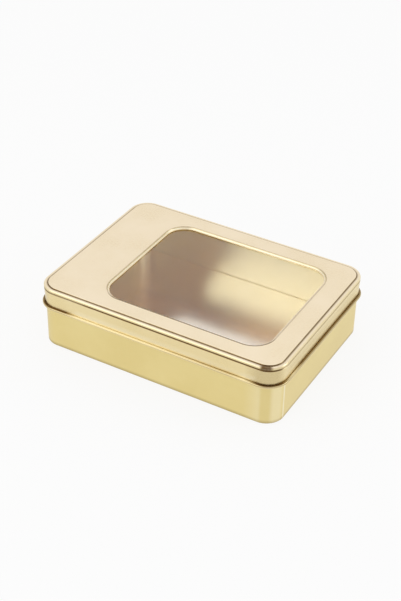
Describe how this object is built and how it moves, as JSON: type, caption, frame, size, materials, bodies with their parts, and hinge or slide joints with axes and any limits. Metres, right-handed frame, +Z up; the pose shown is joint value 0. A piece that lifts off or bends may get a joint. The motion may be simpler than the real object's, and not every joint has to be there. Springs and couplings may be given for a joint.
{
  "type": "window lid tin",
  "caption": "Rectangular gold-lacquered tin with rounded corners and a slip-over lid, which has a curled edge and a clear window set towards one end.",
  "frame": {"origin": "middle of the underside, at the level of the surface that the tin stands on", "axes": "+X along the length, towards the end that the window is nearer to; +Y across the width; +Z up, the way the lid lifts"},
  "size_m": [0.225, 0.1646, 0.0556],
  "materials": {
    "gold_tinplate": "satin gold lacquer on tinplate",
    "gold_tinplate_inside": "satin gold lacquer on tinplate, inside",
    "clear_sheet": "clear glossy plastic sheet",
    "glue": "cured translucent glue"
  },
  "bodies": {
    "body": {"body_wall": "gold_tinplate", "bottom_plate": "gold_tinplate_inside"},
    "lid": {"lid_shell": "gold_tinplate", "window_sheet": "clear_sheet", "window_glue": "glue"}
  },
  "joints": [
    {"name": "lid_lift", "type": "slide", "parent": "body", "child": "lid", "axis": [0, 0, 1], "range_m": [0, 0.06]}
  ]
}
